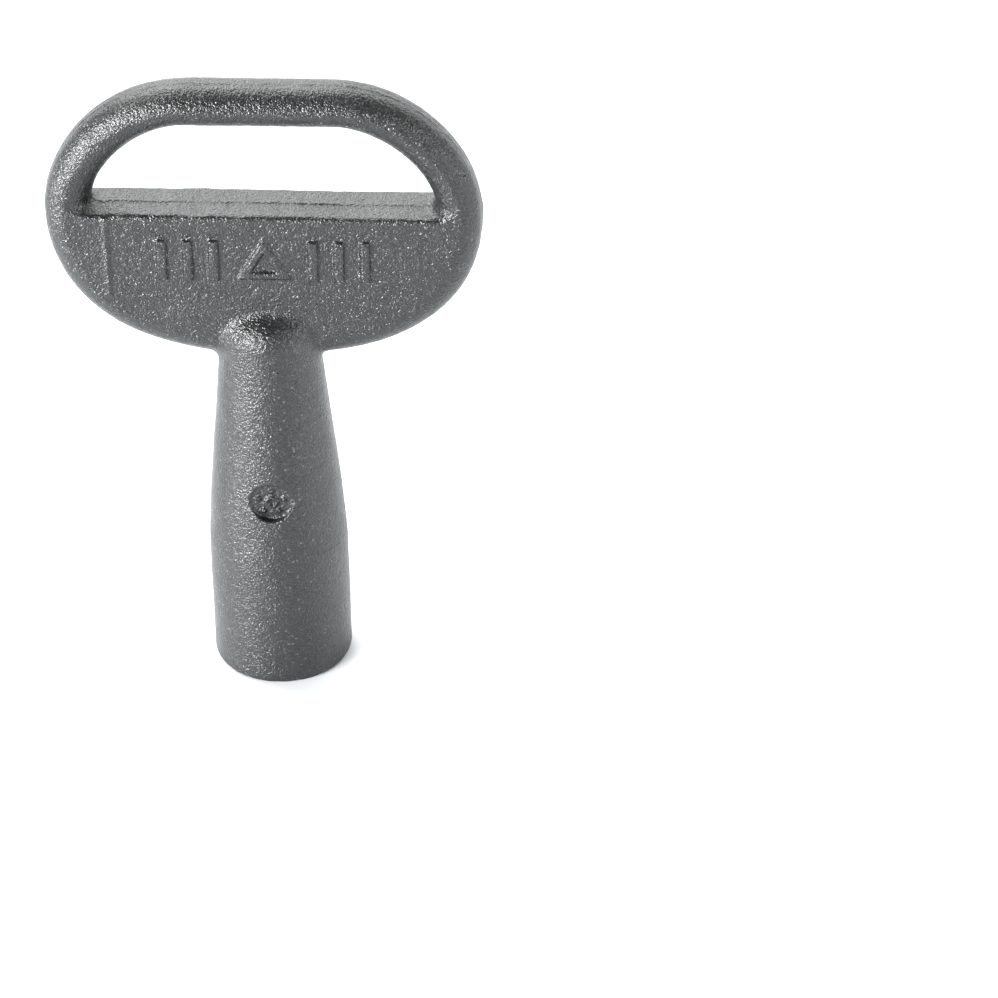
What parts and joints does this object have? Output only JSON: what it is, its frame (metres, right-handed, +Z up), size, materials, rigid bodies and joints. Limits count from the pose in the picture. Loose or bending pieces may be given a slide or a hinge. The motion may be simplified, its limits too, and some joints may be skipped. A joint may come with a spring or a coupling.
{
  "type": "radiator bleed key",
  "caption": "Black cast-metal key with a round shank, a blind triangular socket in its end and an oval bow with a D-shaped finger window.",
  "frame": {"origin": "centre of the socket's mouth face, on the shank's axis", "axes": "+Z up the shank towards the bow, +X across the width of the bow, front face with the emblem and the cavity mark towards -Y"},
  "size_m": [0.0406, 0.0136, 0.0647],
  "materials": {
    "coated_zinc": "black fine-textured powder coat on die-cast zinc, satin with small glossy grains"
  },
  "bodies": {
    "root": {"socket_barrel": "coated_zinc", "neck": "coated_zinc", "web_plate": "coated_zinc", "bow_arch": "coated_zinc", "front_emblem": "coated_zinc", "insert_outline": "coated_zinc", "cavity_mark": "coated_zinc"}
  },
  "joints": []
}
